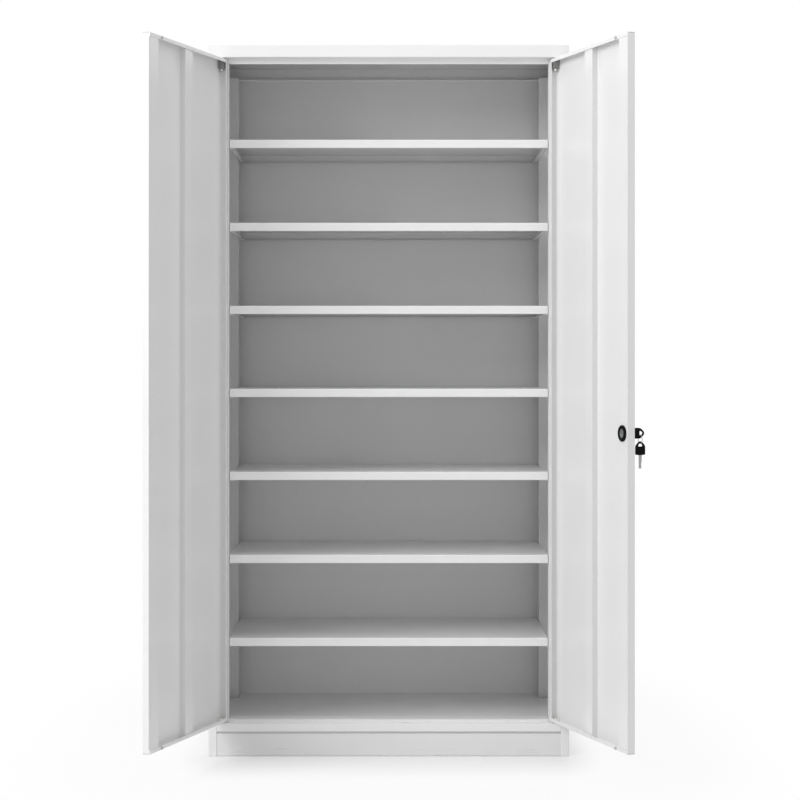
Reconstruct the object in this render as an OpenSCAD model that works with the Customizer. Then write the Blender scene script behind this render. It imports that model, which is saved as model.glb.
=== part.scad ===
// Steel filing cabinet with two hinged doors, seven shelves and a two-rod lock.
// Millimetres, +Z up. Origin on the floor, mid-width, in the plane of the front frame.
// +X is to the right seen from the front and +Y runs to the rear. Both doors stand open.

/* [Case] */
// Outside width of the case
cab_w = 900; // [860:1:1000]
// Outside height of the case
cab_h = 1775; // [1700:1:1850]
// Outside depth of the case
cab_d = 400; // [380:1:450]
// Thickness of the case and door sheet
sheet_t = 0.8; // [0.7:0.05:1]
// Radius of each bend on the middle line of the sheet
bend_r = 1.2; // [1:0.1:1.4]
// Width of each front post
post_w = 21; // [19:0.5:25]
// Depth of the rebate that the doors close into
rebate_d = 23; // [23:0.5:28]
// Width of the stop lip behind each hinge side
stop_w = 28; // [24:0.5:32]
// Depth of the hem behind each side stop lip
hem_d = 8; // [6:0.5:10]
// Width of the rear flange of each side panel
rear_flange = 20; // [16:1:24]
// Distance of the end screws from the top and bottom of the case
screw_end = 150; // [100:5:200]
// Distance of the cap screws from the front and rear of the case
cap_screw_end = 100; // [95:1:120]
// Diameter of the case screws
screw_d = 3.9; // [3.5:0.1:4.2]
// Height of the header over the doors
header_h = 32; // [28:0.5:40]
// Height of the stop lip under the header
top_lip = 13.5; // [12:0.5:16]

/* [Base] */
// Height of the cabinet floor
floor_z = 87; // [84:0.5:95]
// Height of the ledge that the doors stand over
ledge_z = 81; // [80:0.5:83]
// Height of the face of the bottom rail
rail_h = 20; // [16:0.5:24]
// Height of the kick plate
kick_h = 56; // [40:0.5:58]
// Set-back of the kick plate behind the posts
kick_back = 1.5; // [1:0.1:3]
// Depth of the bottom flange of the kick plate
kick_flange = 18; // [12:1:24]
// Depth of the groove between kick plate and rail
kick_step = 6; // [5:0.5:10]

/* [Shelves and uprights] */
// Height of the lowest shelf top above the floor
shelf_first = 290.5; // [280:0.5:300]
// Step between shelf tops
shelf_pitch = 208.35; // [195:0.05:212]
// Height of the folded shelf edges
shelf_edge = 20.5; // [16:0.5:24]
// Depth of the return under each shelf edge
shelf_return = 12; // [8:1:16]
// Gap between a shelf end and the case at each side
shelf_gap = 2; // [2:0.5:4]
// Depth of each slotted upright
upright_d = 36; // [34:1:40]
// Thickness of the upright sheet
upright_t = 1; // [0.9:0.1:1.2]
// Distance of the rear uprights from the back of the case
rear_upright_in = 61; // [58:1:80]
// Slots in an upright for each shelf step
slots_per_step = 8; // [6:1:9]
// Width of a slot
slot_w = 11; // [9:0.5:12]
// Height of a slot
slot_h = 9; // [8:0.5:10]
// Thickness of the shelf clips
clip_t = 2; // [1.5:0.1:2.5]

/* [Doors] */
// Opening angle of both doors as drawn
door_angle = 109.7; // [90:0.1:110]
// Thickness of a door
door_t = 19; // [19:0.1:19.5]
// Gap above, below and between the doors
door_gap = 3; // [2.6:0.1:3.2]
// Gap between a door and its post
hinge_gap = 3.2; // [3:0.1:3.6]
// Distance of the pivot from the rebate wall
pivot_in = 12; // [12:0.1:12.5]
// Distance of the pivot behind the front plane
pivot_back = 8; // [7.8:0.1:8]
// Width of the closed stile at the free edge
stile_w = 45; // [44:0.5:48]
// Width of the stiffener face
stiff_w = 41; // [36:1:46]
// Height of the stiffener over the door skin
stiff_h = 16; // [12:0.5:16.5]
// Distance of the stiffener from the pivot
stiff_at = 204.5; // [180:0.5:230]
// Width of the foot flanges of stile and stiffener
foot_w = 10; // [8:0.5:14]
// Depth of the return lips at door top and bottom
door_lip = 9; // [8:0.5:12]
// Gap between the stile and the lips at its ends
stile_gap = 0.5; // [0.4:0.1:4]
// Width of the closing strip on the left door
strip_w = 22.5; // [18:0.5:30]
// Reach of the closing strip past the left door
strip_over = 7; // [6:0.5:9]

/* [Pivots] */
// Diameter of the pivot pins
pin_d = 8; // [7:0.5:8]
// Running clearance round a pin, on the radius
pin_clear = 0.05; // [0.04:0.01:0.08]
// Outside diameter of the pivot bushes
bush_d = 11; // [10.5:0.5:11.5]
// Thickness of the pivot plates
plate_t = 3; // [2:0.5:4]
// Height of the upper pivot brackets in the doors
bracket_h = 24; // [18:0.5:28]
// Height of the lower pivot brackets in the doors
low_bracket_h = 8; // [7:0.5:16]
// Width of the pivot brackets
bracket_w = 17; // [16:0.5:20]
// Thickness of the pivot brackets
bracket_t = 2.5; // [2:0.1:3]

/* [Lock] */
// Height of the lock above the floor
lock_z = 819; // [780:1:900]
// Distance of the lock from the middle of the cabinet
lock_x = 26; // [25.5:0.1:26.5]
// Diameter of the lock bezel
bezel_d = 36; // [32:0.5:38]
// Diameter of the lock barrel
barrel_d = 21; // [20:0.5:22]
// Diameter of the plug that turns in the barrel
plug_d = 12; // [11.5:0.1:12.5]
// Diameter of the flatted tail behind the plug
tail_d = 10; // [9.6:0.1:10]
// Width across the flats of the tail
tail_flat = 8; // [7.6:0.1:8.2]
// Diameter of the trim ring on the inner face
trim_d = 38; // [34:0.5:40]
// Height of the trim ring over the inner face
trim_h = 4; // [3:0.1:5]
// Radius of the crank pins on the cam
crank_r = 13; // [12.8:0.1:13.2]
// Diameter of the crank pins
crank_d = 4; // [3.6:0.1:4]
// Width of the lock rods
rod_w = 12; // [11.8:0.1:12.4]
// Thickness of the lock rods
rod_t = 2.5; // [2:0.1:2.5]

/* [Keys] */
// Length of a key head
head_len = 32; // [30:0.5:34]
// Width of a key head
head_w = 25; // [24:0.5:27]
// Thickness of a key head
head_t = 2.4; // [2.2:0.1:2.6]
// Width of a key blade
blade_w = 7; // [6.5:0.1:7.2]
// Thickness of a key blade
blade_t = 1.8; // [1.5:0.1:2]
// Length of the spare key blade below its head
spare_blade = 31; // [26:0.5:33]
// Outside diameter of the key ring
ring_od = 22; // [21:0.5:24]
// Diameter of the key ring wire
ring_wire = 1.6; // [1.4:0.1:1.8]

/* [Hidden] */
$fn = 48;

half_w = cab_w / 2;
rebate_x = half_w - post_w;
rear_upright_y = cab_d - rear_upright_in;
lip_x = rebate_x - stop_w;
header_z = cab_h - header_h;
st = sheet_t / 2;
in_x = half_w - sheet_t;
web_x = lip_x + sheet_t;
door_bot = ledge_z + door_gap;
door_top = header_z - door_gap;
free_x = door_gap / 2;
hinge_x = rebate_x - hinge_gap;
pivot_x = rebate_x - pivot_in;
pivot_y = pivot_back;
rail_z = ledge_z - rail_h;
shelf_x = web_x - shelf_gap - upright_t + 0.2;
shelf_y0 = rebate_d + 4;
shelf_y1 = rear_upright_y + upright_d + 20;
front_slot_y = rebate_d + hem_d + 4 + slot_w / 2 + 4;
rear_slot_y = rear_upright_y + upright_d / 2;
slot_pitch = shelf_pitch / slots_per_step;
clip_w = slot_w - 0.8;
seat_z = shelf_first - shelf_edge;
inner_y = door_t;
nut_af = barrel_d + 6;
barrel_y = 7.8;
cam_y0 = 8.2;
cam_t = 2;
clip_y = cam_y0 + cam_t;
rod_y0 = clip_y + 1.4;
rod_off = tail_d / 2 + 0.4 + rod_w / 2;
rod_play = 0.5;
throw = 2 * crank_r * sin(45);
pin_off = crank_r * cos(45);
slot_in = pin_off - crank_d / 2 - 0.3;
slot_out = crank_r + crank_d / 2 + 0.3;
key_gap = 3.5;
ring_r = (ring_od - ring_wire) / 2;
hole_half = 5;
hole_end = head_len - 4.2;
ring_y = -key_gap - hole_end + 5.5;
seat_gap = 0.35;
ring_z = lock_z - hole_half + seat_gap + ring_wire / 2 - ring_r;
spare_head_z = ring_z - ring_r - (hole_end - ring_wire / 2 - seat_gap);

steel_grey = [0.80, 0.80, 0.78];
door_grey = [0.83, 0.83, 0.80];
shelf_grey = [0.77, 0.77, 0.75];
zinc = [0.66, 0.67, 0.68];
dark = [0.20, 0.20, 0.21];
black = [0.06, 0.06, 0.07];
brass = [0.74, 0.62, 0.36];

// Folded sheet: a band of even thickness along a path, rounded at each corner
function unit(v) = v / norm(v);
function left_of(v) = [-v[1], v[0]];
function bend(p, i, off) =
    let (a = unit(p[i] - p[i - 1]), b = unit(p[i + 1] - p[i]))
    let (turn = a[0] * b[1] - a[1] * b[0] > 0 ? 1 : -1, ang = acos(a * b))
    let (c = p[i] + (left_of(a) + left_of(b)) * (turn * bend_r / (1 + a * b)))
    let (rad = bend_r - turn * off, from = -turn * left_of(a))
    let (s0 = atan2(from[1], from[0]))
    [for (k = [0:3]) c + rad * [cos(s0 + turn * ang * k / 3), sin(s0 + turn * ang * k / 3)]];
function side(p, off) = concat(
    [p[0] + left_of(unit(p[1] - p[0])) * off],
    [for (i = [1:len(p) - 2]) each bend(p, i, off)],
    [p[len(p) - 1] + left_of(unit(p[len(p) - 1] - p[len(p) - 2])) * off]);
function back_to_front(v) = [for (i = [len(v) - 1:-1:0]) v[i]];

module folded(p, t) {
    polygon(concat(side(p, t / 2), back_to_front(side(p, -t / 2))));
}

// Section in X and Y, run along Z
module upright_run(p, t, z0, z1) {
    translate([0, 0, z0])
        linear_extrude(z1 - z0)
            folded(p, t);
}

// Section in Y and Z, run along X
module level_run(p, t, x0, x1) {
    translate([x0, 0, 0])
        rotate([90, 0, 90])
            linear_extrude(x1 - x0)
                folded(p, t);
}

module box(x0, x1, y0, y1, z0, z1) {
    translate([x0, y0, z0])
        cube([x1 - x0, y1 - y0, z1 - z0]);
}

// Cylinder along Y from y0 to y1
module across(d, x, y0, y1, z) {
    translate([x, y0, z])
        rotate([-90, 0, 0])
            cylinder(h = y1 - y0, d = d);
}

module left_hand() {
    mirror([1, 0, 0])
        children();
}

// Right door parts are drawn closed and turned out about the pivot
module hung() {
    translate([pivot_x, pivot_y, 0])
        rotate([0, 0, door_angle])
            translate([-pivot_x, -pivot_y, 0])
                children();
}

// Case screws: positions on the rear flanges and under the cap
screw_z = [for (i = [0:5]) screw_end + i * (cab_h - 2 * screw_end) / 5];
screw_x = half_w - 11;
cap_screw_y = [cap_screw_end, cab_d / 2, cab_d - cap_screw_end];
tab_y0 = cap_screw_end - 10;
tab_y1 = cab_d - cap_screw_end + 10;

// Side panel: one sheet folded into post, rebate, stop lip, hem and rear flange
module side_panel() {
    color(steel_grey)
        difference() {
            union() {
                upright_run([
                    [lip_x + st, rebate_d + hem_d],
                    [lip_x + st, rebate_d + st],
                    [rebate_x + st, rebate_d + st],
                    [rebate_x + st, st],
                    [half_w - st, st],
                    [half_w - st, cab_d - st],
                    [half_w - rear_flange, cab_d - st]
                ], sheet_t, 0, header_z);
                box(half_w - 16, in_x, tab_y0, tab_y1, 0, sheet_t);
                box(half_w - 16, in_x, tab_y0, tab_y1, header_z - sheet_t, header_z);
            }
            for (z = screw_z)
                across(screw_d + 0.3, screw_x, cab_d - 2, cab_d + 1, z);
            for (y = cap_screw_y)
                translate([screw_x + 1, y, header_z - 3])
                    cylinder(h = 4, d = screw_d + 0.3);
        }
}

// Back panel inside the rear flanges
module back_panel() {
    color(steel_grey)
        difference() {
            box(-in_x + 0.9, in_x - 0.9, cab_d - 2 * sheet_t, cab_d - sheet_t, 2, header_z - 0.2);
            for (s = [-1, 1], z = screw_z)
                across(screw_d + 0.3, s * screw_x, cab_d - 3, cab_d, z);
        }
}

// Top panel: cap with header, ledge and stop lip in one folded sheet
module top_panel() {
    color(steel_grey)
        difference() {
            union() {
                level_run([
                    [rebate_d + st, header_z - top_lip],
                    [rebate_d + st, header_z + st],
                    [st, header_z + st],
                    [st, cab_h - st],
                    [cab_d - st, cab_h - st],
                    [cab_d - st, header_z + st],
                    [cab_d - 20, header_z + st]
                ], sheet_t, -lip_x + 0.1, lip_x - 0.1);
                for (s = [0, 1])
                    mirror([s, 0, 0]) {
                        level_run([
                            [rebate_d + sheet_t, header_z + st],
                            [st, header_z + st],
                            [st, cab_h - st],
                            [cab_d - st, cab_h - st],
                            [cab_d - st, header_z + st],
                            [cab_d - 20, header_z + st]
                        ], sheet_t, lip_x - 0.1, half_w);
                        box(in_x, half_w, bend_r, cab_d - bend_r, header_z + 0.8, cab_h - 0.8);
                        box(half_w - rear_flange, half_w, bend_r, cab_d - bend_r,
                            header_z, header_z + sheet_t);
                    }
            }
            for (s = [-1, 1]) {
                translate([s * pivot_x, pivot_y, header_z - 1])
                    cylinder(h = 3, d = pin_d + 0.6);
                for (y = cap_screw_y)
                    translate([s * (screw_x + 1), y, header_z - 1])
                        cylinder(h = 4, d = screw_d + 0.3);
            }
            rod_slot(lock_x - rod_off, header_z - 1, header_z + 3);
        }
}

// Slot for a lock rod, drawn for the closed door
module rod_slot(x, z0, z1) {
    box(x - rod_w / 2 - 0.8, x + rod_w / 2 + 0.8, rod_y0 - 0.8, rod_y0 + rod_t + 0.8, z0, z1);
}

// Bottom panel: floor, stop lip, ledge and rail in one folded sheet
module bottom_panel() {
    color(steel_grey)
        difference() {
            union() {
                level_run([
                    [18, rail_z + st],
                    [st, rail_z + st],
                    [st, ledge_z - st],
                    [rebate_d + st, ledge_z - st],
                    [rebate_d + st, floor_z - st],
                    [cab_d - 2 * sheet_t - st, floor_z - st],
                    [cab_d - 2 * sheet_t - st, floor_z - 22]
                ], sheet_t, -lip_x + 0.1, lip_x - 0.1);
                for (s = [0, 1])
                    mirror([s, 0, 0]) {
                        level_run([
                            [18, rail_z + st],
                            [st, rail_z + st],
                            [st, ledge_z - st],
                            [rebate_d - 0.9, ledge_z - st]
                        ], sheet_t, lip_x - 0.1, rebate_x - 0.1);
                        box(lip_x - 0.2, in_x - 0.1, rebate_d + upright_d + 14, rear_upright_y - 14,
                            floor_z - sheet_t, floor_z);
                        box(in_x - 0.9, in_x - 0.1, rebate_d + upright_d + 14, rear_upright_y - 14,
                            floor_z - 20, floor_z);
                    }
            }
            for (s = [-1, 1])
                translate([s * pivot_x, pivot_y, ledge_z - 2])
                    cylinder(h = 3, d = pin_d + 0.6);
            rod_slot(lock_x + rod_off, ledge_z - 2, ledge_z + 1);
        }
}

// Kick plate between the posts, stepped back at the top to meet the rail
module kick_plate() {
    color(steel_grey)
        level_run([
            [kick_back + kick_flange, st],
            [kick_back + st, st],
            [kick_back + st, kick_h - st],
            [kick_back + kick_step, kick_h - st],
            [kick_back + kick_step, rail_z - 0.3]
        ], sheet_t, -rebate_x + 0.1, rebate_x - 0.1);
}

// Slots of an upright, in step with the shelf seats
module upright_slots(y) {
    low = ceil((floor_z + 20 - seat_z) / slot_pitch);
    high = floor((header_z - 20 - seat_z) / slot_pitch);
    for (k = [low:high])
        box(web_x - 1, web_x + upright_t + 0.5, y - slot_w / 2, y + slot_w / 2,
            seat_z + k * slot_pitch - clip_t - 0.2, seat_z + k * slot_pitch - clip_t - 0.2 + slot_h);
}

// Front upright: slotted web, flange behind the stop lip and flange to the side
module front_upright() {
    y0 = rebate_d + sheet_t + upright_t / 2;
    color(shelf_grey)
        difference() {
            upright_run([
                [rebate_x - 2, y0],
                [web_x + upright_t / 2, y0],
                [web_x + upright_t / 2, y0 + upright_d],
                [in_x - upright_t / 2, y0 + upright_d],
                [in_x - upright_t / 2, y0 + upright_d + 12]
            ], upright_t, sheet_t, header_z - 0.9);
            upright_slots(front_slot_y);
        }
}

// Rear upright: the same channel turned to the rear
module rear_upright() {
    y0 = rear_upright_y + upright_t / 2;
    color(shelf_grey)
        difference() {
            upright_run([
                [in_x - upright_t / 2, y0 - 12],
                [in_x - upright_t / 2, y0],
                [web_x + upright_t / 2, y0],
                [web_x + upright_t / 2, y0 + upright_d],
                [half_w - 22, y0 + upright_d]
            ], upright_t, sheet_t, header_z - 0.9);
            upright_slots(rear_slot_y);
        }
}

// Shelf: tray folded down on four sides, with returns at front and rear
module shelf(i) {
    z = shelf_first + i * shelf_pitch;
    color(shelf_grey) {
        level_run([
            [shelf_y0 + shelf_return, z - shelf_edge + st],
            [shelf_y0 + st, z - shelf_edge + st],
            [shelf_y0 + st, z - st],
            [shelf_y1 - st, z - st],
            [shelf_y1 - st, z - shelf_edge + st],
            [shelf_y1 - shelf_return, z - shelf_edge + st]
        ], sheet_t, -shelf_x, shelf_x);
        for (s = [0, 1])
            mirror([s, 0, 0]) {
                box(shelf_x - sheet_t, shelf_x, shelf_y0 + bend_r, shelf_y1 - bend_r,
                    z - shelf_edge, z - 0.5);
                box(shelf_x - 10, shelf_x, shelf_y0 + 14, shelf_y1 - 14,
                    z - shelf_edge, z - shelf_edge + sheet_t);
            }
    }
}

// Shelf clip: a tongue through a slot, hooked up behind the web
module shelf_clip(y, z) {
    y0 = y - clip_w / 2;
    y1 = y + clip_w / 2;
    box(shelf_x - 8, web_x + upright_t + 1.6, y0, y1, z - clip_t, z);
    box(web_x + upright_t + 0.1, web_x + upright_t + 1.6, y0, y1, z - clip_t, z + 5);
    box(web_x - 1.5, web_x - 0.05, y0, y1, z - 12, z - 1);
}

module shelf_clips() {
    color(zinc)
        for (s = [0, 1], i = [0:6], y = [front_slot_y, rear_slot_y])
            mirror([s, 0, 0])
                shelf_clip(y, seat_z + i * shelf_pitch);
}

// Screws through the rear flanges and the flanges under the cap
module case_screws() {
    color(zinc)
        for (s = [-1, 1]) {
            for (z = screw_z) {
                across(screw_d, s * screw_x, cab_d - 5, cab_d + 0.1, z);
                across(8, s * screw_x, cab_d, cab_d + 1.6, z);
            }
            for (y = cap_screw_y)
                translate([s * (screw_x + 1), y, header_z - sheet_t]) {
                    cylinder(h = 5, d = screw_d);
                    translate([0, 0, -1.8])
                        cylinder(h = 1.8, d = 7);
                }
        }
}

// Pivot plates lie on the hidden side of the ledges
module pivot_plate(z0) {
    color(zinc)
        difference() {
            box(pivot_x - 13, rebate_x - 1, 2, rebate_d - 1, z0, z0 + plate_t);
            translate([pivot_x, pivot_y, z0 - 1])
                cylinder(h = plate_t + 2, d = pin_d + 0.1);
        }
}

module top_plate() {
    pivot_plate(header_z + sheet_t);
}

module bottom_plate() {
    pivot_plate(ledge_z - sheet_t - plate_t);
}

// Pivot pin with a riveted head, drawn pointing up from its plate
module pin(reach) {
    tip = 2;
    color(zinc)
        rotate_extrude()
            polygon([
                [0, -1.6], [pin_d / 2 + 1.6, -1.6], [pin_d / 2 + 2, -1.2], [pin_d / 2 + 2, 0],
                [pin_d / 2, 0], [pin_d / 2, reach - tip], [pin_d / 2 - 0.5, reach - 0.9],
                [pin_d / 2 - 1.4, reach - 0.2], [0, reach]
            ]);
}

top_reach = plate_t + sheet_t + door_gap + sheet_t + bracket_h + 6;
low_reach = plate_t + sheet_t + door_gap + sheet_t + low_bracket_h + 3;

module top_pin() {
    translate([pivot_x, pivot_y, header_z + sheet_t + plate_t])
        mirror([0, 0, 1])
            pin(top_reach);
}

module bottom_pin() {
    translate([pivot_x, pivot_y, ledge_z - sheet_t - plate_t])
        pin(low_reach);
}

// Thrust washers that carry the doors on the bottom ledge
washer_t = door_gap - 0.6;

module thrust_washers() {
    color(zinc)
        for (s = [-1, 1])
            translate([s * pivot_x, pivot_y, ledge_z])
                difference() {
                    cylinder(h = washer_t, d = 15);
                    translate([0, 0, -1])
                        cylinder(h = 5, d = pin_d + 0.8);
                }
}

// Door pan: skin, hinge wall with return, free edge wall, top and bottom flanges
relief = bend_r + st;
stile_end = free_x + stile_w;

module pan_flanges() {
    for (side_z = [0, 1]) {
        e = side_z == 0 ? door_bot : door_top;
        d = side_z == 0 ? 1 : -1;
        level_run([
            [door_t - st, e + d * door_lip],
            [door_t - st, e + d * st],
            [st, e + d * st],
            [st, e + d * 6]
        ], sheet_t, free_x + sheet_t, hinge_x - relief);
    }
}

module pan_body() {
    upright_run([
        [hinge_x - 8, door_t - st],
        [hinge_x - st, door_t - st],
        [hinge_x - st, st],
        [free_x + st, st],
        [free_x + st, door_t]
    ], sheet_t, door_bot + relief, door_top - relief);
    pan_flanges();
}

module door_pan(locked) {
    color(door_grey)
        difference() {
            pan_body();
            translate([pivot_x, pivot_y, 0])
                for (z = [door_bot, door_top])
                    translate([0, 0, z - 2])
                        cylinder(h = 4, d = bush_d + 0.1);
            if (locked) {
                across(barrel_d + 0.2, lock_x, -1, 2, lock_z);
                rod_slot(lock_x - rod_off, door_top - 2, door_top + 1);
                rod_slot(lock_x + rod_off, door_bot - 1, door_bot + 2);
            }
        }
}

// Closed stile: channel from the free edge wall back to the skin
module door_stile(locked) {
    color(door_grey)
        difference() {
            upright_run([
                [free_x + sheet_t + st, 2 * sheet_t + 0.1],
                [free_x + sheet_t + st, door_t - st],
                [stile_end - st, door_t - st],
                [stile_end - st, sheet_t + st],
                [stile_end + foot_w, sheet_t + st]
            ], sheet_t, door_bot + door_lip + stile_gap, door_top - door_lip - stile_gap);
            if (locked)
                across(tail_d + 1, lock_x, door_t - 3, door_t + 1, lock_z);
        }
}

// Hat section stiffener on the door skin
module door_stiffener() {
    x = pivot_x - stiff_at;
    y0 = sheet_t + st;
    y1 = sheet_t + stiff_h - st;
    a = stiff_w / 2 - st;
    color(door_grey)
        upright_run([
            [x - a - foot_w, y0],
            [x - a, y0],
            [x - a, y1],
            [x + a, y1],
            [x + a, y0],
            [x + a + foot_w, y0]
        ], sheet_t, door_bot + 2 * sheet_t, door_top - 2 * sheet_t);
}

// Pivot bracket: plate folded to a C, open towards the hinge wall of the pan
module bracket(z0, h) {
    x1 = hinge_x - sheet_t;
    x0 = x1 - bracket_w;
    y0 = 2 * sheet_t;
    y1 = door_t - 2 * sheet_t;
    difference() {
        union() {
            box(x0, x0 + bracket_t, y0, y1, z0, z0 + h);
            box(x0, x1, y0, y1, z0, z0 + bracket_t);
            box(x0, x1, y0, y1, z0 + h - bracket_t, z0 + h);
        }
        translate([pivot_x, pivot_y, z0 - 1])
            cylinder(h = h + 2, d = bush_d + 0.1);
    }
}

top_bracket_z = door_top - sheet_t - bracket_h;

module door_bracket_top() {
    color(dark)
        bracket(top_bracket_z, bracket_h);
}

module door_bracket_bottom() {
    color(door_grey)
        bracket(door_bot + sheet_t, low_bracket_h);
}

// Pivot bushes in the brackets; the lower one runs on the thrust washer
module bush(z0, z1) {
    translate([pivot_x, pivot_y, z0])
        difference() {
            cylinder(h = z1 - z0, d = bush_d);
            translate([0, 0, -1])
                cylinder(h = z1 - z0 + 2, d = pin_d + 2 * pin_clear);
        }
}

module door_bushes() {
    color(brass) {
        bush(top_bracket_z, door_top);
        bush(door_bot - 0.5, door_bot + sheet_t + low_bracket_h);
    }
}

// Rubber buffers on the inner face near the free corners
module door_buffers() {
    color(shelf_grey)
        for (z = [door_bot + 4.6, door_top - 4.6])
            across(8, stile_end + 14, door_t, rebate_d - 0.3, z);
}

// Closing strip on the left door, stepped behind the right one
module closing_strip() {
    y = door_t + st;
    color(steel_grey)
        difference() {
            upright_run([
                [-free_x - strip_w, y],
                [-free_x - 1.9, y],
                [0.1 - free_x, y + 0.4],
                [strip_over, y + 0.4]
            ], sheet_t, door_bot + 12, door_top - 12);
            box(lock_x - trim_d / 2 - 0.8, 20, door_t - 1, door_t + 4, lock_z - 8, lock_z + 8);
        }
}

// Lock: fixed parts on the right door
module lock_bezel() {
    color(black)
        difference() {
            union() {
                across(bezel_d, lock_x, -1.2, 0, lock_z);
                across(bezel_d - 2, lock_x, -1.6, -1, lock_z);
            }
            across(barrel_d + 0.2, lock_x, -3, 1, lock_z);
        }
}

module lock_barrel() {
    color(zinc)
        difference() {
            union() {
                across(barrel_d, lock_x, -1.6, barrel_y, lock_z);
                across(barrel_d + 4, lock_x, -2.6, -1.6, lock_z);
            }
            across(plug_d + 0.1, lock_x, -4, barrel_y + 1, lock_z);
        }
}

module barrel_nut() {
    color(zinc)
        difference() {
            translate([lock_x, sheet_t, lock_z])
                rotate([-90, 0, 0])
                    cylinder(h = 3, d = nut_af / cos(30), $fn = 6);
            across(barrel_d + 0.1, lock_x, 0, 6, lock_z);
        }
}

module lock_trim_ring() {
    color(black)
        difference() {
            union() {
                across(trim_d, lock_x, inner_y, inner_y + trim_h - 0.8, lock_z);
                across(trim_d - 1.6, lock_x, inner_y + 1, inner_y + trim_h, lock_z);
            }
            across(barrel_d, lock_x, inner_y - 1, inner_y + trim_h + 1, lock_z);
        }
}

module tail_bearing() {
    color(zinc)
        difference() {
            across(barrel_d - 0.2, lock_x, inner_y, inner_y + 3, lock_z);
            across(tail_d + 0.1, lock_x, inner_y - 1, inner_y + 4, lock_z);
        }
}

// Rod guides: slotted plates across the inside of the stile
guide_t = 2;

module rod_guide(x, z) {
    difference() {
        box(free_x + 2 * sheet_t, stile_end - sheet_t, sheet_t, door_t - sheet_t, z, z + guide_t);
        box(x - rod_w / 2 - 0.35, x + rod_w / 2 + 0.35, rod_y0 - 0.35, rod_y0 + rod_t + 0.35,
            z - 1, z + guide_t + 1);
        box(free_x, free_x + 2 * sheet_t + 0.9, door_t - sheet_t - 0.9, door_t,
            z - 1, z + guide_t + 1);
        box(stile_end - sheet_t - 0.9, stile_end, door_t - sheet_t - 0.9, door_t,
            z - 1, z + guide_t + 1);
        box(stile_end - sheet_t - 0.9, stile_end, 0, sheet_t + 0.9, z - 1, z + guide_t + 1);
    }
}

module rod_guides() {
    color(zinc)
        for (f = [0.35, 0.93]) {
            rod_guide(lock_x - rod_off, lock_z + f * (door_top - lock_z));
            rod_guide(lock_x + rod_off, lock_z - f * (lock_z - door_bot));
        }
}

// Lock: parts that turn with the key
module flatted(d, y0, y1) {
    intersection() {
        across(d, lock_x, y0, y1, lock_z);
        box(lock_x - tail_flat / 2 - (d - tail_d) / 2, lock_x + tail_flat / 2 + (d - tail_d) / 2,
            y0 - 1, y1 + 1, lock_z - 10, lock_z + 10);
    }
}

key_end = inner_y + 0.5;

module lock_plug() {
    color(zinc)
        difference() {
            union() {
                across(plug_d, lock_x, -2.8, cam_y0, lock_z);
                flatted(tail_d, cam_y0 - 1, inner_y + 2);
            }
            box(lock_x - blade_t / 2 - 0.1, lock_x + blade_t / 2 + 0.1, -4, key_end,
                lock_z - blade_w / 2 - 0.1, lock_z + blade_w / 2 + 0.1);
        }
}

// Cam with two crank pins, one for each rod
module lock_cam() {
    arm = crank_r + 3.5;
    color(zinc)
        difference() {
            union() {
                translate([lock_x, 0, lock_z])
                    rotate([0, -45, 0]) {
                        box(-crank_r, crank_r, cam_y0, cam_y0 + cam_t, -3.5, 3.5);
                        for (s = [-1, 1]) {
                            across(7, s * crank_r, cam_y0, cam_y0 + cam_t, 0);
                            across(crank_d, s * crank_r, cam_y0 + 1, rod_y0 + rod_t + 0.5, 0);
                        }
                        across(16, 0, cam_y0, cam_y0 + cam_t, 0);
                    }
            }
            flatted(tail_d + 0.1, cam_y0 - 1, cam_y0 + cam_t + 1);
        }
}

module cam_clip() {
    color(zinc)
        difference() {
            across(tail_d + 4, lock_x, clip_y, clip_y + 1, lock_z);
            across(tail_d + 0.1, lock_x, clip_y - 1, clip_y + 2, lock_z);
        }
}

// Keys: outline along u from the blade end of the head, w across it
module head_outline() {
    h = head_w / 2;
    e = head_len;
    polygon([
        [0, -3], [0, 3], [1.2, h - 1], [2.2, h], [e - 13, h], [e - 9.5, h - 0.9], [e - 6, h - 3.6],
        [e - 3, h - 6.3], [e - 1, h - 8.7], [e, h - 10.9], [e, 10.9 - h], [e - 1, 8.7 - h],
        [e - 3, 6.3 - h], [e - 6, 3.6 - h], [e - 9.5, 0.9 - h], [e - 13, -h], [2.2, -h], [1.2, 1 - h]
    ]);
}

module hole_outline() {
    e = hole_end;
    h = hole_half;
    polygon([
        [e - 7.6, 0.6 - h], [e - 7, -h], [e - 3.9, -h], [e - 0.9, 2.2 - h], [e, 3.6 - h],
        [e, h - 3.6], [e - 0.9, h - 2.2], [e - 3.9, h], [e - 7, h], [e - 7.6, h - 0.6]
    ]);
}

blade_in = 6;

module blade_outline(len) {
    h = blade_w / 2;
    polygon([
        [blade_in, -h], [blade_in, h], [-len + 2, h], [-len, h - 2], [-len, -h + 2.4],
        [-len + 2.4, -h + 0.6], [-len + 4.6, -h + 1.6], [-len + 6.8, -h + 0.4],
        [-len + 9, -h + 2], [-len + 11.2, -h + 0.7], [-len + 13.4, -h + 1.4], [-len + 15, -h]
    ]);
}

module key_head_solid() {
    difference() {
        linear_extrude(head_t, center = true)
            difference() {
                head_outline();
                hole_outline();
            }
        linear_extrude(blade_t, center = true)
            polygon([
                [-1, -blade_w / 2], [blade_in, -blade_w / 2],
                [blade_in, blade_w / 2], [-1, blade_w / 2]
            ]);
    }
}

module key_blade_solid(len) {
    linear_extrude(blade_t, center = true)
        blade_outline(len);
}

module in_lock() {
    translate([lock_x, -key_gap, lock_z])
        rotate([90, 0, -90])
            children();
}

module hanging() {
    translate([lock_x, ring_y, spare_head_z])
        rotate([-90, 0, 0])
            rotate([90, 0, -90])
                children();
}

module key_head() {
    color(black)
        in_lock()
            key_head_solid();
}

module key_blade() {
    color(zinc)
        in_lock()
            key_blade_solid(key_gap + key_end);
}

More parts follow.
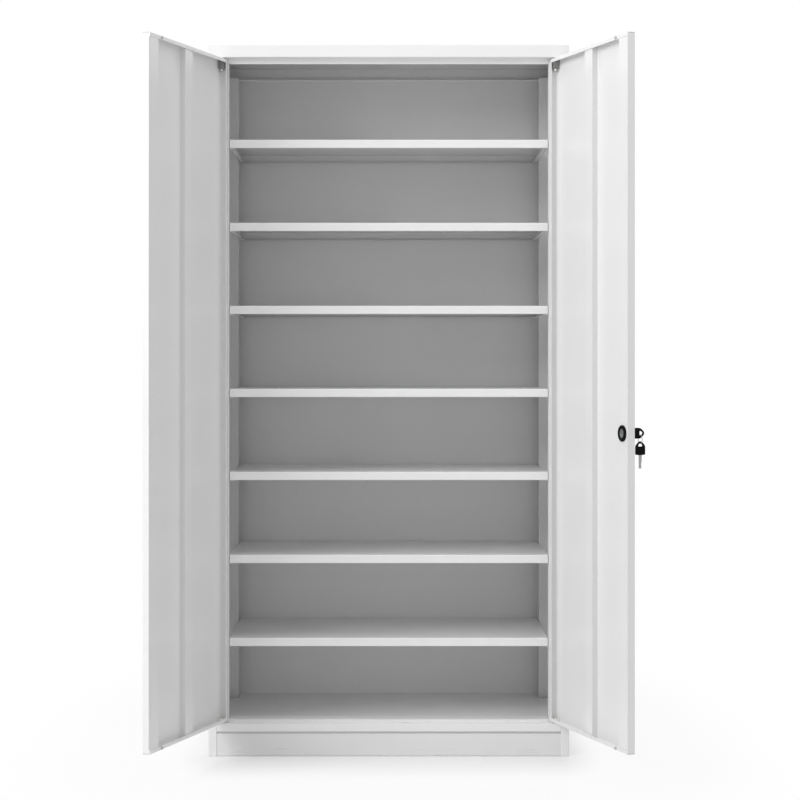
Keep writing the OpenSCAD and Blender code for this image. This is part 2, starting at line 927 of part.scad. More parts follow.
module spare_key_head() {
    color(black)
        hanging()
            key_head_solid();
}

module spare_key_blade() {
    color(zinc)
        hanging()
            key_blade_solid(spare_blade);
}

module key_ring() {
    color(zinc)
        translate([lock_x, ring_y, ring_z])
            rotate([90, 0, 0])
                rotate_extrude()
                    translate([ring_r, 0])
                        circle(d = ring_wire);
}

// Lock rods with cross slots for the crank pins, drawn unlocked
module rod(dir, z_end) {
    x = lock_x + dir * rod_off;
    z_pin = lock_z + dir * pin_off;
    z_eye = z_pin + dir * (crank_d / 2 + rod_play + 4);
    xa = lock_x + dir * slot_in;
    xb = lock_x + dir * slot_out;
    color(zinc)
        difference() {
            box(x - rod_w / 2, x + rod_w / 2, rod_y0, rod_y0 + rod_t,
                min(z_end, z_eye), max(z_end, z_eye));
            box(min(xa, xb), max(xa, xb), rod_y0 - 1, rod_y0 + rod_t + 1,
                z_pin - crank_d / 2 - rod_play, z_pin + crank_d / 2 + rod_play);
        }
}

module upper_lock_rod() {
    rod(-1, door_top - 1.6);
}

module lower_lock_rod() {
    rod(1, door_bot + 1.6);
}

left_hand() side_panel();  // left_side_panel
side_panel();  // right_side_panel
back_panel();
top_panel();
bottom_panel();
kick_plate();
left_hand() front_upright();  // left_front_upright
front_upright();  // right_front_upright
left_hand() rear_upright();  // left_rear_upright
rear_upright();  // right_rear_upright
shelf(0);  // shelf_1
shelf(1);  // shelf_2
shelf(2);  // shelf_3
shelf(3);  // shelf_4
shelf(4);  // shelf_5
shelf(5);  // shelf_6
shelf(6);  // shelf_7
shelf_clips();
case_screws();
left_hand() top_plate();  // left_top_plate
top_plate();  // right_top_plate
left_hand() bottom_plate();  // left_bottom_plate
bottom_plate();  // right_bottom_plate
left_hand() top_pin();  // left_top_pin
top_pin();  // right_top_pin
left_hand() bottom_pin();  // left_bottom_pin
bottom_pin();  // right_bottom_pin
thrust_washers();
left_hand() hung() door_pan(false);  // left_door_pan
left_hand() hung() door_stile(false);  // left_door_stile
left_hand() hung() door_stiffener();  // left_door_stiffener
left_hand() hung() door_bracket_top();  // left_door_top_bracket
left_hand() hung() door_bracket_bottom();  // left_door_bottom_bracket
left_hand() hung() door_bushes();  // left_door_bushes
left_hand() hung() door_buffers();  // left_door_buffers
left_hand() hung() left_hand() closing_strip();
hung() door_pan(true);  // right_door_pan
hung() door_stile(true);  // right_door_stile
hung() door_stiffener();  // right_door_stiffener
hung() door_bracket_top();  // right_door_top_bracket
hung() door_bracket_bottom();  // right_door_bottom_bracket
hung() door_bushes();  // right_door_bushes
hung() door_buffers();  // right_door_buffers
hung() lock_bezel();
hung() lock_barrel();
hung() barrel_nut();
hung() lock_trim_ring();
hung() tail_bearing();
hung() rod_guides();
hung() lock_plug();
hung() lock_cam();
hung() cam_clip();
hung() key_blade();
hung() key_head();
hung() upper_lock_rod();
hung() lower_lock_rod();
hung() key_ring();
hung() spare_key_blade();
hung() spare_key_head();
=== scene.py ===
# White steel filing cabinet with both doors open, seven shelves and keys in the lock.
# Metres, +Z up, origin on the floor at the middle of the front frame.
import math

import bpy
from mathutils import Matrix, Vector


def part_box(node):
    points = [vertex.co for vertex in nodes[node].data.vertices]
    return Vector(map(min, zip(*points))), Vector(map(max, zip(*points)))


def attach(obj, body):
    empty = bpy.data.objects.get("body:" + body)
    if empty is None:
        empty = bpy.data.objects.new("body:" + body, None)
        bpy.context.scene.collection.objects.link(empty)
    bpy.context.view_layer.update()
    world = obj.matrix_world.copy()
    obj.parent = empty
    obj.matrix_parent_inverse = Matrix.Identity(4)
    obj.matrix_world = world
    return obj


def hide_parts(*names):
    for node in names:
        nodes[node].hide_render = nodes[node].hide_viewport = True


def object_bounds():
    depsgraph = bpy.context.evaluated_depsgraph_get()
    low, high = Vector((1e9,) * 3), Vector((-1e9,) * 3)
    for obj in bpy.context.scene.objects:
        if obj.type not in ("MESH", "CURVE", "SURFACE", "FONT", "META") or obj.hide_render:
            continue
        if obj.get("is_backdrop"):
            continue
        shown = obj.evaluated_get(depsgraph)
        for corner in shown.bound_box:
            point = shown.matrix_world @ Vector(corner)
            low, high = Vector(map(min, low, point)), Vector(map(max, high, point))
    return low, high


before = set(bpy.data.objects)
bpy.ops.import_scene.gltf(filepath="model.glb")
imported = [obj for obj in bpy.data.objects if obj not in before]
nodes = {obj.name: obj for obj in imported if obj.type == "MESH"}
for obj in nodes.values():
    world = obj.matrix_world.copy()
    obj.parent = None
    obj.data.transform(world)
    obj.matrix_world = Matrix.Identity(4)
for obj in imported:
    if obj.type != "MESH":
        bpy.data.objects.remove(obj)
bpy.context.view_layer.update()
bpy.ops.object.select_all(action="DESELECT")
scene = bpy.context.scene


# Camera
# A long lens in front of the cabinet, a little above its half height.
camera_data = bpy.data.cameras.new("camera")
camera_data.lens = 84.8
camera_data.sensor_width = 36.0
camera_data.shift_x = 0.0141
camera_data.shift_y = -0.05
camera = bpy.data.objects.new("camera", camera_data)
camera.location = (0.0, -4.7, 0.988)
camera.rotation_euler = (math.radians(90), 0.0, 0.0)
scene.collection.objects.link(camera)
scene.camera = camera
scene.view_settings.view_transform = "Standard"


# Side panels
# Each side is one sheet of 0.8 mm steel, folded at the front into post, rebate and stop lip
# and at the rear into a flange. The outside carries a white powder coat with a fine orange
# peel, and shows faint wipe marks that run up and down.
class Socket:
    def __init__(self, out):
        self.out = out
        self.tree = out.id_data

    def node(self, kind, *values, **settings):
        made = self.tree.nodes.new(kind)
        for name, value in settings.items():
            setattr(made, name, value)
        for i, value in enumerate(values):
            if isinstance(value, Socket):
                self.tree.links.new(value.out, made.inputs[i])
            elif value is not None:
                made.inputs[i].default_value = value
        return made

    def math(self, operation, *values):
        return Socket(self.node("ShaderNodeMath", *values, operation=operation).outputs[0])

    def __add__(self, other):
        return self.math("ADD", self, other)

    __radd__ = __add__

    def __mul__(self, other):
        return self.math("MULTIPLY", self, other)

    __rmul__ = __mul__

    def __sub__(self, other):
        return self.math("SUBTRACT", self, other)

    def __rsub__(self, other):
        return self.math("SUBTRACT", other, self)

    def __abs__(self):
        return self.math("ABSOLUTE", self)

    def repeat(self, pitch):
        return self.math("PINGPONG", self, pitch / 2)

    def either(self, other):
        return self.math("MAXIMUM", self, other)

    def step(self, low, high, to_low=0.0, to_high=1.0):
        ramp = self.node("ShaderNodeMapRange", self, low, high, to_low, to_high,
                         interpolation_type="SMOOTHSTEP")
        return Socket(ramp.outputs[0])

    def stretched(self, x, y, z):
        scaled = self.node("ShaderNodeVectorMath", self, (x, y, z), operation="MULTIPLY")
        return Socket(scaled.outputs[0])

    def noise(self, scale, detail=2.0, rough=0.5):
        return Socket(self.node("ShaderNodeTexNoise", self, None, scale, detail, rough).outputs["Fac"])

    def axis(self, name):
        return Socket(self.node("ShaderNodeSeparateXYZ", self).outputs[name])

    def mix(self, first, second):
        blend = self.node("ShaderNodeMix", self, data_type="RGBA")
        ends = [s for s in blend.inputs if s.type == "RGBA"]
        for end, value in zip(ends, (first, second)):
            if isinstance(value, Socket):
                self.tree.links.new(value.out, end)
            else:
                end.default_value = (*value, 1.0)
        return Socket([s for s in blend.outputs if s.type == "RGBA"][0])


def new_finish(name):
    material = bpy.data.materials.new(name)
    material.use_nodes = True
    tree = material.node_tree
    where = tree.nodes.new("ShaderNodeTexCoord")
    return material, tree.nodes["Principled BSDF"], Socket(where.outputs["Object"])


def feed(shader, **values):
    for name, value in values.items():
        socket = shader.inputs[name.replace("_", " ")]
        if isinstance(value, Socket):
            value.tree.links.new(value.out, socket)
        else:
            socket.default_value = value


def relief(shader, height, strength, distance):
    bump = height.node("ShaderNodeBump")
    bump.inputs["Strength"].default_value = strength
    bump.inputs["Distance"].default_value = distance
    height.tree.links.new(height.out, bump.inputs["Height"])
    height.tree.links.new(bump.outputs["Normal"], shader.inputs["Normal"])


def powder_coat(name, marks, mark_colour=(0.78, 0.775, 0.765), white=0.885, gloss=0.34,
                dents=None):
    material, shader, place = new_finish(name)
    drift = place.stretched(1.0, 1.0, 0.35).noise(2.6, 3.0).step(0.35, 0.7)
    grain = place.noise(150.0, 2.0)
    peel = place.noise(480.0, 2.0, 0.55)
    mottle = place.noise(11.0, 4.0, 0.6)
    tone = drift * 0.6 + (grain - 0.5) * 0.5 + (mottle - 0.5) * 0.6
    colour = tone.mix((white, white, white), (white - 0.03, white - 0.03, white - 0.028))
    rub = marks(place)
    feed(shader, Base_Color=rub.mix(colour, mark_colour),
         Roughness=gloss + drift * 0.06 + (grain - 0.5) * 0.1 + rub * 0.14,
         Coat_Weight=0.25, Coat_Roughness=0.2)
    skin = peel * 0.55 + grain * 0.45
    if dents:
        skin = skin - dents(place)
    relief(shader, skin, 0.42, 0.00022)
    return material


def dress(finish, *names):
    for name in names:
        slots = nodes[name].data.materials
        slots.clear()
        slots.append(finish)


def wipe_marks(place):
    streaks = place.stretched(1.0, 1.0, 0.12).noise(42.0, 4.0, 0.6).step(0.56, 0.74)
    hand = place.axis("Z").step(0.55, 0.95) * place.axis("Z").step(1.5, 1.1)
    return streaks * (0.1 + hand * 0.12)


side_finish = powder_coat("side enamel", wipe_marks)
dress(side_finish, "left_side_panel", "right_side_panel")


# Back panel
# A flat sheet screwed inside the rear flanges. Thin flat steel is never quite plane, so the
# coat shows slow waves, and its edges have rub marks from the fitting.
def sheet_waves(place):
    return place.stretched(1.0, 1.0, 0.6).noise(3.2, 1.0) * 2.4


def fitting_marks(place):
    rim = abs(place.axis("X")).step(0.40, 0.445)
    rubs = place.stretched(1.0, 1.0, 0.3).noise(60.0, 3.0).step(0.55, 0.75)
    return rubs * (0.05 + rim * 0.25)


back_finish = powder_coat("back enamel", fitting_marks, white=0.875, gloss=0.38, dents=sheet_waves)
dress(back_finish, "back_panel")


# Top panel
# The cap, the header over the doors and the stop lip behind it are one folded sheet. Dust
# lies on the upper face, thicker towards the rear.
top_z = 1.775
case_depth = 0.4


def top_dust(place):
    upper = place.axis("Z").step(top_z - 0.0015, top_z - 0.0005)
    drift = place.noise(7.0, 4.0, 0.6).step(0.35, 0.75)
    specks = place.noise(430.0, 2.0, 0.7).step(0.6, 0.72)
    rearward = place.axis("Y").step(0.0, case_depth)
    return upper * (0.1 + rearward * 0.25) * (drift * 0.7 + specks * 0.6)


top_finish = powder_coat("top enamel", top_dust, (0.70, 0.69, 0.67))
dress(top_finish, "top_panel")


# Bottom panel
# The floor of the cabinet, its stop lip, the ledge under the doors and the rail below are
# again one folded sheet. Goods pushed in and out leave fine straight scratches on the floor.
def slide_scratches(place):
    lines = place.stretched(1.0, 0.04, 1.0).noise(520.0, 3.0, 0.7).step(0.62, 0.72)
    where = place.stretched(1.0, 0.5, 1.0).noise(9.0, 2.0).step(0.45, 0.65)
    inside = place.axis("Y").step(0.03, 0.05)
    return lines * where * inside * 0.4


bottom_finish = powder_coat("floor enamel", slide_scratches, (0.74, 0.735, 0.725), gloss=0.36)
dress(bottom_finish, "bottom_panel")


# Kick plate
# A folded strip between the posts, set back under the rail. It meets shoes and mops, so it
# is less glossy than the rest, with faint level scuffs and a grey line close to the ground, and
# the whole plate is painted darker as painted shade for the dimmer light low down.
def scuffs_and_painted_shade(place):
    low = place.axis("Z").step(0.05, 0.008)
    rubs = place.stretched(0.08, 1.0, 1.0).noise(170.0, 4.0, 0.65).step(0.56, 0.74)
    # The constant 0.3 darkens the whole plate: painted shade. The low band holds real scuffs.
    return low * (rubs * 0.45 + 0.06) + 0.3


kick_finish = powder_coat("kick plate enamel", scuffs_and_painted_shade, (0.655, 0.653, 0.648), gloss=0.4)
dress(kick_finish, "kick_plate")


# Slotted uprights
# Four channels of thicker sheet stand in the corners, pierced with a slot for each shelf
# step. The coat is thinner in here and rubbed here and there, and a band beside the slots
# is painted darker as painted shade at the slot rims.
slot_x = 0.4


def rubs_and_painted_rim_shade(place):
    rubs = place.stretched(1.0, 1.0, 0.5).noise(120.0, 3.0).step(0.52, 0.72)
    # Painted shade: the band beside the slots is made darker than the rest of the upright.
    beside = abs(abs(place.axis("X")) - slot_x).step(0.012, 0.002)
    return rubs * (0.06 + beside * 0.2)


upright_finish = powder_coat("upright enamel", rubs_and_painted_rim_shade, white=0.875, gloss=0.4)
dress(upright_finish, "left_front_upright", "right_front_upright", "left_rear_upright",
      "right_rear_upright")


# Shelves
# Seven trays, folded down on four sides and returned under the front and rear edges. Their
# tops have the scratches of sliding goods, and the front edges are polished by hands.
def shelf_marks(place):
    edge = place.axis("Y").step(0.034, 0.029)
    thumbs = place.stretched(0.4, 1.0, 1.0).noise(50.0, 3.0).step(0.5, 0.75)
    return slide_scratches(place).either(edge * thumbs * 0.12)


shelf_finish = powder_coat("shelf enamel", shelf_marks, (0.75, 0.745, 0.735), gloss=0.33)
shelf_count = 7
dress(shelf_finish, *[f"shelf_{i}" for i in range(1, shelf_count + 1)])


# Shelf clips
# Small stamped steel hooks carry the shelves, four to a shelf. Bright zinc plate shows the
# fine lines of the rolled strip and a cloudy patch here and there.
def plated(name, light, dark, gloss=0.3, along=(1.0, 1.0, 0.06), lines=1400.0,
           depth=0.18):
    material, shader, place = new_finish(name)
    streak = place.stretched(*along).noise(lines, 3.0, 0.6)
    cloud = place.noise(160.0, 3.0).step(0.4, 0.7)
    feed(shader, Base_Color=(streak * 0.6 + cloud * 0.4).mix(light, dark), Metallic=1.0,
         Roughness=gloss + cloud * 0.12 + (streak - 0.5) * 0.16)
    relief(shader, streak, depth, 0.00008)
    return material


zinc_light = (0.66, 0.67, 0.69)
zinc_dark = (0.50, 0.51, 0.53)
zinc_finish = plated("zinc strip", zinc_light, zinc_dark, 0.34)


def select_only(piece):
    bpy.ops.object.select_all(action="DESELECT")
    piece.select_set(True)
    bpy.context.view_layer.objects.active = piece


def copy_of(node_name, piece_name):
    piece = bpy.data.objects.new(piece_name, nodes[node_name].data.copy())
    scene.collection.objects.link(piece)
    select_only(piece)
    bpy.ops.object.mode_set(mode="EDIT")
    bpy.ops.mesh.select_all(action="SELECT")
    bpy.ops.mesh.remove_doubles(threshold=0.000001)
    bpy.ops.mesh.dissolve_limited(angle_limit=math.radians(0.5))
    bpy.ops.object.mode_set(mode="OBJECT")
    return piece


def round_edges(piece, width, segments=3):
    select_only(piece)
    edge = piece.modifiers.new("edge", "BEVEL")
    edge.width = width
    edge.segments = segments
    edge.limit_method = "ANGLE"
    edge.angle_limit = math.radians(35)
    bpy.ops.object.modifier_apply(modifier=edge.name)
    bpy.ops.object.shade_smooth_by_angle(angle=math.radians(38))


def finish_piece(piece, finish, body, slot, *replaced):
    piece.data.materials.clear()
    piece.data.materials.append(finish)
    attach(piece, body)
    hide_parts(*replaced)


clips = copy_of("shelf_clips", "stamped_clips")
round_edges(clips, 0.00035, 2)
finish_piece(clips, zinc_finish, "case", "zinc", "shelf_clips")


# Case screws
# Zinc pan-head screws with a cross recess hold the back panel and the cap. One screw is
# shaped and then copied to each hole, and each copy is turned by a different angle.
screw_finish = plated("zinc screw", (0.68, 0.68, 0.66), (0.48, 0.48, 0.47), 0.3,
                      (1.0, 1.0, 1.0), 700.0)
screw_radius = 0.004
screw_head = 0.0016
recess_half = 0.0005
recess_reach = 0.0022
recess_deep = 0.0009
shank_radius = 0.0017
shank_long = 0.004
rear_rows = 6
cap_screw_radius = 0.0035
cap_screw_outward = 0.001
cap_screw_drop = 0.0337
turn_between_screws = 2.4

bpy.ops.mesh.primitive_cylinder_add(vertices=24, radius=screw_radius, depth=screw_head)
screw = bpy.context.object


def pick_faces(piece, wanted):
    bpy.ops.object.mode_set(mode="OBJECT")
    for vertex in piece.data.vertices:
        vertex.select = False
    for edge in piece.data.edges:
        edge.select = False
    for face in piece.data.polygons:
        face.select = wanted(face.center, face.normal)
    bpy.ops.object.mode_set(mode="EDIT")
    bpy.ops.mesh.select_mode(type="FACE")


def cut_all(piece, point, normal):
    bpy.ops.object.mode_set(mode="EDIT")
    bpy.ops.mesh.select_all(action="SELECT")
    bpy.ops.mesh.bisect(plane_co=point, plane_no=normal)
    bpy.ops.object.mode_set(mode="OBJECT")


pick_faces(screw, lambda centre, normal: normal.z > 0.9)
bpy.ops.mesh.bevel(offset=0.0008, segments=3, affect="EDGES")
for reach in (-recess_reach, -recess_half, recess_half, recess_reach):
    cut_all(screw, (reach, 0, 0), (1, 0, 0))
    cut_all(screw, (0, reach, 0), (0, 1, 0))


def in_cross(centre, normal):
    near, far = sorted((abs(centre.x), abs(centre.y)))
    return normal.z > 0.9 and far < recess_reach and near < recess_half


pick_faces(screw, in_cross)
bpy.ops.mesh.extrude_region_move(TRANSFORM_OT_translate={"value": (0, 0, -recess_deep)})
pick_faces(screw, lambda centre, normal: normal.z < -0.9)
bpy.ops.mesh.inset(thickness=screw_radius - shank_radius)
bpy.ops.mesh.extrude_region_move(TRANSFORM_OT_translate={"value": (0, 0, -shank_long)})
bpy.ops.object.mode_set(mode="OBJECT")
bpy.ops.object.shade_smooth_by_angle(angle=math.radians(30))

low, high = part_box("case_screws")
rear_x = high[0] - screw_radius
rear_y = high[1] - screw_head / 2
lowest_z = low[2] + screw_radius
row_step = (top_z - 2 * lowest_z) / (rear_rows - 1)
facing_rear = Matrix.Rotation(math.radians(-90), 4, "X")
cap_x = rear_x + cap_screw_outward
cap_y = low[1] + cap_screw_radius
cap_z = top_z - cap_screw_drop
smaller = Matrix.Scale(cap_screw_radius / screw_radius, 4)
facing_down = Matrix.Rotation(math.radians(180), 4, "X") @ smaller
holes = []
for s in (-1, 1):
    for i in range(rear_rows):
        spot = (s * rear_x, rear_y, lowest_z + i * row_step)
        holes.append(Matrix.Translation(spot) @ facing_rear)
    for y in (cap_y, case_depth / 2, case_depth - cap_y):
        holes.append(Matrix.Translation((s * cap_x, y, cap_z)) @ facing_down)
driven = []
for i, hole in enumerate(holes):
    one = bpy.data.objects.new(f"screw_{i}", screw.data.copy())
    one.data.transform(hole @ Matrix.Rotation(i * turn_between_screws, 4, "Z"))
    scene.collection.objects.link(one)
    driven.append(one)
bpy.data.objects.remove(screw)
bpy.ops.object.select_all(action="DESELECT")
for one in driven:
    one.select_set(True)
bpy.context.view_layer.objects.active = driven[0]
bpy.ops.object.join()
screws = bpy.context.object
screws.name = "cross_head_screws"
finish_piece(screws, screw_finish, "case", "zinc", "case_screws")


# Pivot plates and pins
# Steel plates on the hidden side of the ledges carry the riveted pivot pins. They are zinc
# plated, and the pins are polished and lightly greased where the bushes turn on them.
pin_finish = plated("pivot steel", (0.70, 0.70, 0.70), (0.52, 0.52, 0.53), 0.22,
                    (0.2, 0.2, 1.0), 2600.0)
for side in ("left", "right"):
    for level in ("top", "bottom"):
        plate = copy_of(f"{side}_{level}_plate", f"{side}_{level}_pivot_plate")
        round_edges(plate, 0.0004, 2)
        finish_piece(plate, zinc_finish, "case", "zinc", f"{side}_{level}_plate")
    dress(pin_finish, f"{side}_top_pin", f"{side}_bottom_pin")


# Thrust washers
# A flat plated washer lies round each lower pin, and the door stands on it.
washer_finish = plated("washer steel", zinc_light, zinc_dark, 0.26, (1.0, 1.0, 0.3), 900.0)
dress(washer_finish, "thrust_washers")


# Doors
# Each door is a folded pan with a closed stile at the free edge and a hat-shaped stiffener
# spot-welded to the skin. The weld spots show as small shallow dimples under the coat, with a
# painted shade ring on their slopes; the steep walls carry painted shade, and hands leave a dull
# area beside the lock.
pivot = Vector((0.417, 0.008, 0.0))
open_angle = math.radians(109.7)
stiffener_x = 0.2125
stiffener_wall = 0.0202
stiffener_foot = 0.0255
stile_foot = 0.0515
hinge_wall_x = 0.425
weld_pitch = 0.12
lock_x = 0.026
lock_z = 0.819
hand_z = lock_z + 0.021


def when_closed(place, side):
    back = Matrix.Rotation(-side * open_angle, 3, "Z")
    centre = Vector((side * pivot.x, pivot.y, 0.0))
    turn = place.node("ShaderNodeMapping", place, centre - back @ centre,
                      (0.0, 0.0, -side * open_angle), vector_type="POINT")
    return Socket(turn.outputs[0])


def door_finish(name, side):
    def spots(place, outer, inner):
        flat = when_closed(place, side)
        across = abs(flat.axis("X"))
        rise = place.axis("Z").repeat(weld_pitch)
        on_stile = abs(across - stile_foot)
        on_feet = abs(abs(across - stiffener_x) - stiffener_foot)
        near = on_stile.math("MINIMUM", on_stile, on_feet)
        on_inside = flat.axis("Y").step(0.0003, 0.0006)
        gap = near.math("SQRT", near * near + rise * rise)
        return gap.step(outer, inner) * on_inside

    def marks(place):
        flat = when_closed(place, side)
        across = abs(flat.axis("X"))
        near = across.step(0.11, 0.03) * abs(place.axis("Z") - hand_z).step(0.34, 0.08)
        prints = flat.noise(85.0, 3.0, 0.6).step(0.45, 0.7)
        streaks = flat.stretched(1.0, 1.0, 0.12).noise(46.0, 4.0, 0.6).step(0.58, 0.74)
        # Painted shade: a darker ring on the sloping side of each weld dimple.
        rings = spots(place, 0.0036, 0.0026) - spots(place, 0.0024, 0.0014)
        hat_wall = abs(abs(across - stiffener_x) - stiffener_wall).step(0.0014, 0.0009)
        hinge_wall = across.step(hinge_wall_x - 0.0014, hinge_wall_x - 0.0004)
        # Painted shade on the steep walls of the stiffener and of the hinge side.
        painted_wall_shade = hat_wall.either(hinge_wall) * flat.axis("Y").step(0.0012, 0.003)
        return near * prints * 0.16 + streaks * 0.08 + rings * 0.3 + painted_wall_shade * 0.9

    def dents(place):
        return spots(place, 0.0034, 0.0012) * 2.6

    return powder_coat(name, marks, (0.774, 0.774, 0.772), dents=dents)


for side, sign in (("left", -1), ("right", 1)):
    coat = door_finish(f"{side} door enamel", sign)
    dress(coat, f"{side}_door_pan", f"{side}_door_stile", f"{side}_door_stiffener",
          f"{side}_door_bottom_bracket")
    if side == "left":
        dress(coat, "closing_strip")


# Door pivot brackets and bushes
# The upper brackets are plates folded to a C and painted dark grey. Brass bushes pressed
# into the brackets turn on the pins.
def dull_paint(name, light, dark, gloss=0.5, grain_size=1500.0, skin=0.3, shine=0.5):
    material, shader, place = new_finish(name)
    fine = place.noise(grain_size, 2.0, 0.6)
    cloud = place.noise(130.0, 3.0).step(0.35, 0.7)
    feed(shader, Base_Color=(cloud * 0.7 + fine * 0.3).mix(light, dark),
         Roughness=gloss + cloud * 0.12 + (fine - 0.5) * 0.2, Specular_IOR_Level=shine)
    relief(shader, fine, skin, 0.00012)
    return material


bracket_finish = dull_paint("bracket paint", (0.27, 0.27, 0.275), (0.19, 0.19, 0.195), 0.46)
bush_finish = plated("bush brass", (0.72, 0.55, 0.26), (0.56, 0.41, 0.18), 0.3,
                     (0.3, 0.3, 1.0), 2200.0)
for side in ("left", "right"):
    bracket = copy_of(f"{side}_door_top_bracket", f"{side}_c_bracket")
    round_edges(bracket, 0.0006, 3)
    finish_piece(bracket, bracket_finish, f"{side}_door", "dark_bracket",
                 f"{side}_door_top_bracket")
    dress(bush_finish, f"{side}_door_bushes")


# Rubber buffers
# Two soft light grey studs on each door meet the stop lips and keep the shut door quiet.
# Moulded rubber has a rounded rim and a faint bloom.
buffer_finish = dull_paint("grey rubber", (0.62, 0.62, 0.61), (0.55, 0.55, 0.54), 0.68,
                           900.0, 0.4, 0.3)
for side in ("left", "right"):
    studs = copy_of(f"{side}_door_buffers", f"{side}_buffer_studs")
    round_edges(studs, 0.0012, 4)
    finish_piece(studs, buffer_finish, f"{side}_door", "rubber", f"{side}_door_buffers")


# Lock: parts fixed to the door
# A black moulded bezel outside and a black trim ring inside close the hole in the door. The
# barrel between them is turned and plated, so its face has fine rings round the lock axis.
black_finish = dull_paint("black moulding", (0.005, 0.005, 0.0053), (0.003, 0.003, 0.0032),
                          0.5, 1700.0, 0.3, 0.1)


def turned_metal(name, light, dark, gloss):
    material, shader, place = new_finish(name)
    flat = when_closed(place, 1)
    x = flat.axis("X") - lock_x
    z = flat.axis("Z") - lock_z
    radius = x.math("SQRT", x * x + z * z)
    rings = radius.math("SINE", radius * 15000.0) * 0.5 + 0.5
    cloud = place.noise(420.0, 3.0).step(0.4, 0.7)
    feed(shader, Base_Color=(rings * 0.35 + cloud * 0.65).mix(light, dark), Metallic=1.0,
         Roughness=gloss + cloud * 0.12 + (rings - 0.5) * 0.1)
    relief(shader, rings, 0.15, 0.00006)
    return material


barrel_finish = turned_metal("turned zinc", zinc_light, zinc_dark, 0.3)
for name, made, width in (
        ("lock_bezel", "bezel", 0.00038),
        ("lock_trim_ring", "trim_ring", 0.0006)):
    ring = copy_of(name, made)
    round_edges(ring, width, 3)
    finish_piece(ring, black_finish, "right_door", "black_plastic", name)
barrel = copy_of("lock_barrel", "turned_barrel")
round_edges(barrel, 0.0003, 3)
finish_piece(barrel, barrel_finish, "right_door", "zinc", "lock_barrel")
dress(barrel_finish, "barrel_nut", "tail_bearing")
dress(zinc_finish, "rod_guides")


# Lock: parts that turn with the key
# The plug is turned from bar and slotted for the key. Behind it a stamped cam with two
# crank pins draws the rods, and a clip holds it on the tail.
plug_finish = turned_metal("turned plug", (0.70, 0.70, 0.70), (0.54, 0.54, 0.55), 0.24)
plug = copy_of("lock_plug", "slotted_plug")
round_edges(plug, 0.0002, 2)
finish_piece(plug, plug_finish, "lock_rotor", "zinc", "lock_plug")
cam = copy_of("lock_cam", "crank_cam")
round_edges(cam, 0.00025, 2)
finish_piece(cam, zinc_finish, "lock_rotor", "zinc", "lock_cam")
dress(plug_finish, "cam_clip")


# Lock rods
# Flat drawn bars slide in the stile to the top and bottom of the door, with lines along
# their length from the die.
rod_finish = plated("drawn bar", (0.64, 0.65, 0.67), (0.47, 0.48, 0.50), 0.32,
                    (1.0, 1.0, 0.02), 1800.0)
dress(rod_finish, "upper_lock_rod", "lower_lock_rod")


# Keys
# Two stamped steel keys with black moulded heads. A head is rounded all round and has a
# shallow thumb panel on each face; a blade has a milled groove along each side and cuts on
# one edge.
key_finish = plated("key steel", (0.52, 0.52, 0.53), (0.38, 0.38, 0.40), 0.26,
                    (1.0, 1.0, 0.05), 1500.0, 0.08)
key_head_thick = 0.0024
head_panel = (0.0072, 0.0172), (-0.0088, 0.0088)
key_blade_thick = 0.0018
blade_groove = (-0.0285, -0.0008), (-0.0002, 0.0014)
inserted_root_y = -0.0035
spare_root_y = -0.0258
opening = Matrix.Rotation(open_angle, 4, "Z")


def on_open_door(x, y, z):
    return pivot + opening @ (Vector((x, y, z)) - pivot)


outward = opening @ Vector((0.0, -1.0, 0.0))
flank = opening @ Vector((-1.0, 0.0, 0.0))
up = Vector((0.0, 0.0, 1.0))
head_low, head_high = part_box("spare_key_head")
spare_root = on_open_door(lock_x, spare_root_y, head_low[2])
inserted_root = on_open_door(lock_x, inserted_root_y, lock_z)


def press_panel(piece, root, along, over, panel, thick, rim, depth):
    u, w = panel
    for value, way in ((u[0], along), (u[1], along), (w[0], over), (w[1], over)):
        cut_all(piece, root + way * value, way)

    def on_face(centre, normal):
        place = centre - root
        return (u[0] < place.dot(along) < u[1] and w[0] < place.dot(over) < w[1]
                and abs(place.dot(flank)) > thick / 2 - 0.00005 and abs(normal.dot(flank)) > 0.9)

    pick_faces(piece, on_face)
    bpy.ops.mesh.inset(thickness=rim, depth=-depth)
    bpy.ops.object.mode_set(mode="OBJECT")


for prefix, root, along, over, body in (
        ("", inserted_root, outward, up, "lock_rotor"),
        ("spare_", spare_root, up, -outward, "spare_key")):
    head = copy_of(prefix + "key_head", prefix + "moulded_head")
    press_panel(head, root, along, over, head_panel, key_head_thick, 0.0005, 0.0003)
    round_edges(head, 0.00045, 3)
    finish_piece(head, black_finish, body, "black_plastic", prefix + "key_head")
    blade = copy_of(prefix + "key_blade", prefix + "milled_blade")
    press_panel(blade, root, along, over, blade_groove, key_blade_thick, 0.0002, 0.0004)
    round_edges(blade, 0.00016, 2)
    finish_piece(blade, key_finish, body, "key_steel", prefix + "key_blade")


# Key ring
# A ring of spring wire joins the keys, bright where the keys slide on it.
ring_finish = plated("spring wire", (0.70, 0.70, 0.71), (0.52, 0.52, 0.54), 0.22,
                     (1.0, 1.0, 1.0), 1100.0)
dress(ring_finish, "key_ring")


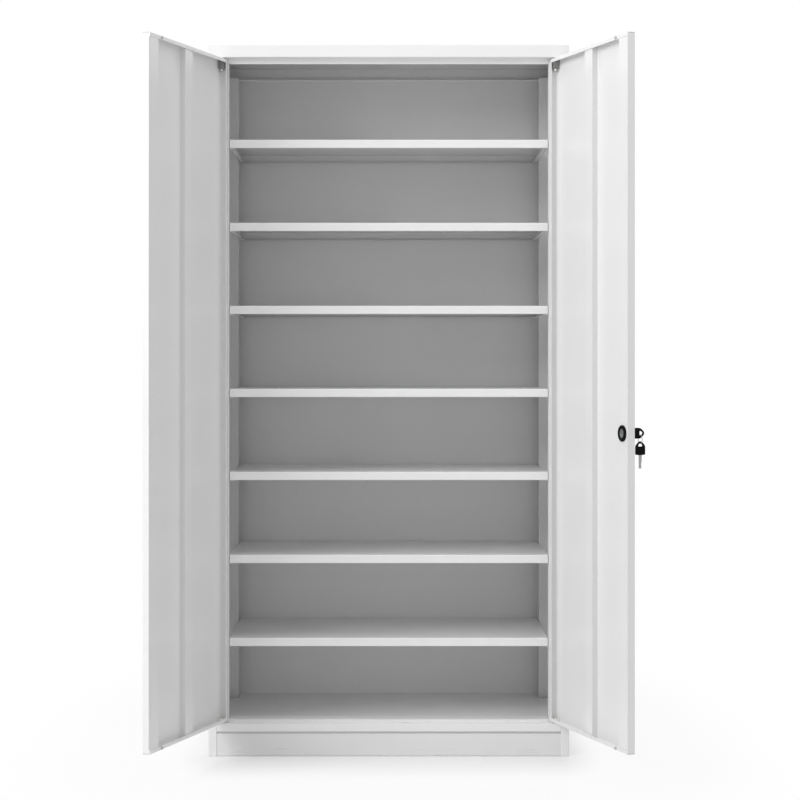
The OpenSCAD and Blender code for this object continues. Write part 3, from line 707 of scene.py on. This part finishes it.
# Floor
# A white studio floor keeps a soft shadow and a faint reflection near the cabinet and
# runs into the white backdrop farther out, sooner beside the cabinet than before it.
half_width = 0.42
half_depth = case_depth / 2
bpy.ops.mesh.primitive_plane_add(size=16.0, location=(0.0, 0.0, -0.0005))
floor = bpy.context.object
floor.name = "floor"
floor_paint, shader, place = new_finish("floor paint")
soft = place.noise(1.5, 2.0)
feed(shader, Base_Color=soft.mix((0.90, 0.90, 0.90), (0.885, 0.885, 0.885)),
     Roughness=0.2 + soft * 0.05)
tree = floor_paint.node_tree
glow = tree.nodes.new("ShaderNodeEmission")
path = tree.nodes.new("ShaderNodeLightPath")
beside = (abs(place.axis("X")) - half_width).either(0.0) * 2.5
before = (abs(place.axis("Y") - half_depth) - half_depth).either(0.0)
away = place.math("SQRT", beside * beside + before * before)
white_out = away.step(-0.06, 0.3, 0.1, 0.88) + away.step(0.5, 1.6, 0.0, 0.12)
share = Socket(path.outputs["Is Camera Ray"]) * white_out
blend = share.node("ShaderNodeMixShader", share)
tree.links.new(shader.outputs[0], blend.inputs[1])
tree.links.new(glow.outputs[0], blend.inputs[2])
tree.links.new(blend.outputs[0], tree.nodes["Material Output"].inputs["Surface"])
floor.data.materials.append(floor_paint)
floor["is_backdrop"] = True


# Light
# Two broad soft lamps at the left, a weak one overhead, and an even surround that the
# camera sees as plain white.
fill_level = 0.57
reflected_level = 0.8


def lamp(name, place, aim, size, power):
    data = bpy.data.lights.new(name, "AREA")
    data.shape = "RECTANGLE"
    data.size, data.size_y = size
    data.energy = power
    item = bpy.data.objects.new(name, data)
    item.location = place
    item.rotation_euler = (Vector(aim) - Vector(place)).to_track_quat("-Z", "Y").to_euler()
    scene.collection.objects.link(item)


lamp("key light", (-3.4, -3.4, 3.5), (0.1, 0.0, 1.2), (2.2, 2.6), 100.0)
lamp("side light", (-4.6, -1.7, 2.8), (0.3, 0.0, 1.2), (2.2, 2.6), 28.0)
lamp("top light", (0.0, -0.7, 4.3), (0.0, 0.0, 0.9), (3.0, 1.6), 35.0)

world = bpy.data.worlds.new("studio")
scene.world = world
world.use_nodes = True
tree = world.node_tree
tree.nodes.clear()
path = tree.nodes.new("ShaderNodeLightPath")
seen = Socket(path.outputs["Is Camera Ray"]).either(Socket(path.outputs["Is Transmission Ray"]))
reflected = Socket(path.outputs["Is Glossy Ray"]) * reflected_level
level = seen.either(reflected).either(fill_level)
backdrop = level.node("ShaderNodeBackground", (1.0, 1.0, 1.0, 1.0), level)
world_out = tree.nodes.new("ShaderNodeOutputWorld")
tree.links.new(backdrop.outputs[0], world_out.inputs["Surface"])

low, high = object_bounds()
